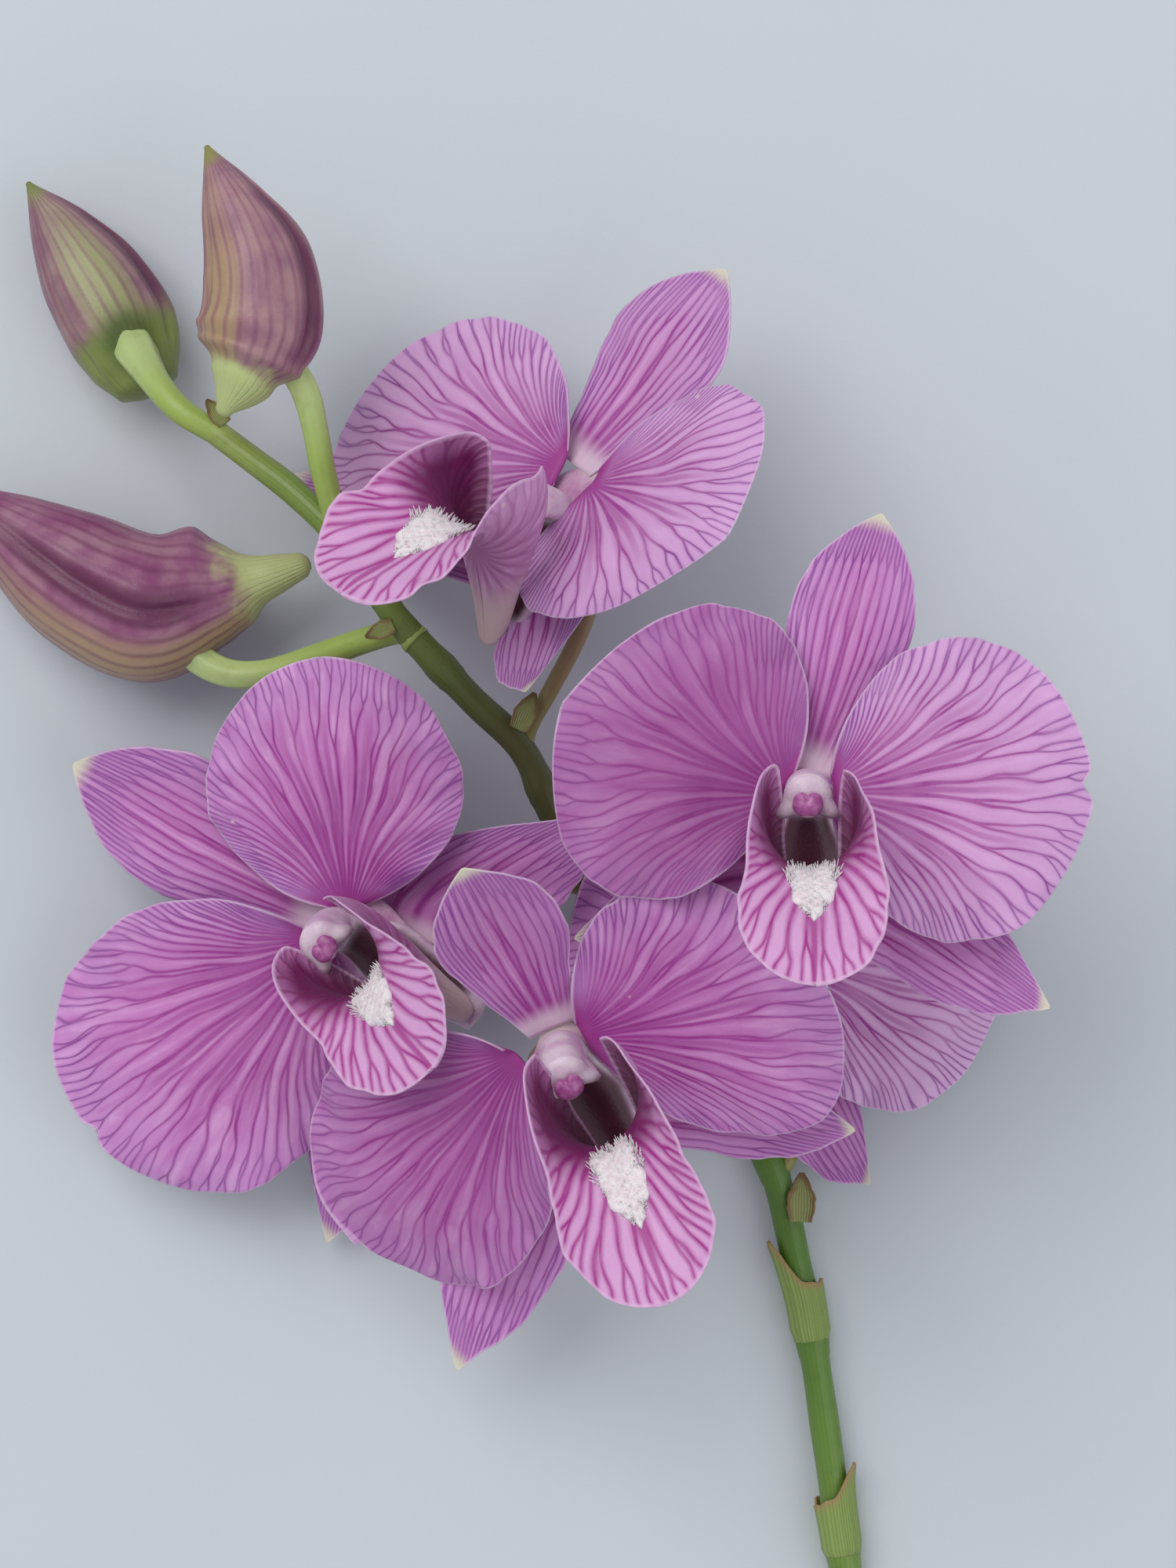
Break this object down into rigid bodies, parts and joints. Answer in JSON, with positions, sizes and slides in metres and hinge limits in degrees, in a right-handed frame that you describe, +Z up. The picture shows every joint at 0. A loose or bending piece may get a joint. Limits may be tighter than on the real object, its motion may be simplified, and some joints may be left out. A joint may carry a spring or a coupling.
{
  "type": "dendrobium orchid",
  "caption": "Cut flowering stem of a phalaenopsis-type dendrobium orchid with open lilac-pink flowers and closed buds along an arching stem, laid on its back.",
  "frame": {"origin": "on the table, under the middle of the bounding box", "axes": "+Z up from the table, towards the faces of the flowers; +Y from the cut end towards the tip of the stem; +X to the right when looking down with the tip at the top"},
  "size_m": [0.1312, 0.1758, 0.0721],
  "materials": {
    "petals": "satin",
    "lips": "satin",
    "columns": "satin",
    "anther_caps": "satin",
    "buds": "satin",
    "stem": "satin",
    "pedicels": "satin",
    "sheaths": "matte",
    "bracts": "matte"
  },
  "bodies": {
    "root": {"bract_bud_2": "bracts", "bract_bud_3": "bracts", "bract_flower_1": "bracts", "bract_flower_5": "bracts", "bract_tip": "bracts", "bud_1": "buds", "bud_2": "buds", "bud_3": "buds", "flower_1_anther_cap": "anther_caps", "flower_1_column": "columns", "flower_1_dorsal_sepal": "petals", "flower_1_lateral_sepal_left": "petals", "flower_1_lateral_sepal_right": "petals", "flower_1_lip": "lips", "flower_1_petal_left": "petals", "flower_1_petal_right": "petals", "flower_2_anther_cap": "anther_caps", "flower_2_column": "columns", "flower_2_dorsal_sepal": "petals", "flower_2_lateral_sepal_left": "petals", "flower_2_lateral_sepal_right": "petals", "flower_2_lip": "lips", "flower_2_petal_left": "petals", "flower_2_petal_right": "petals", "flower_3_anther_cap": "anther_caps", "flower_3_column": "columns", "flower_3_dorsal_sepal": "petals", "flower_3_lateral_sepal_left": "petals", "flower_3_lateral_sepal_right": "petals", "flower_3_lip": "lips", "flower_3_petal_left": "petals", "flower_3_petal_right": "petals", "flower_4_anther_cap": "anther_caps", "flower_4_column": "columns", "flower_4_dorsal_sepal": "petals", "flower_4_lateral_sepal_left": "petals", "flower_4_lateral_sepal_right": "petals", "flower_4_lip": "lips", "flower_4_petal_left": "petals", "flower_4_petal_right": "petals", "flower_5_anther_cap": "anther_caps", "flower_5_column": "columns", "flower_5_dorsal_sepal": "petals", "flower_5_lateral_sepal_left": "petals", "flower_5_lateral_sepal_right": "petals", "flower_5_lip": "lips", "flower_5_petal_left": "petals", "flower_5_petal_right": "petals", "main_stem": "stem", "pedicel_bud_1": "pedicels", "pedicel_bud_2": "pedicels", "pedicel_bud_3": "pedicels", "pedicel_flower_1": "pedicels", "pedicel_flower_2": "pedicels", "pedicel_flower_3": "pedicels", "pedicel_flower_4": "pedicels", "pedicel_flower_5": "pedicels", "sheath_lower": "sheaths", "sheath_upper": "sheaths"}
  },
  "joints": []
}
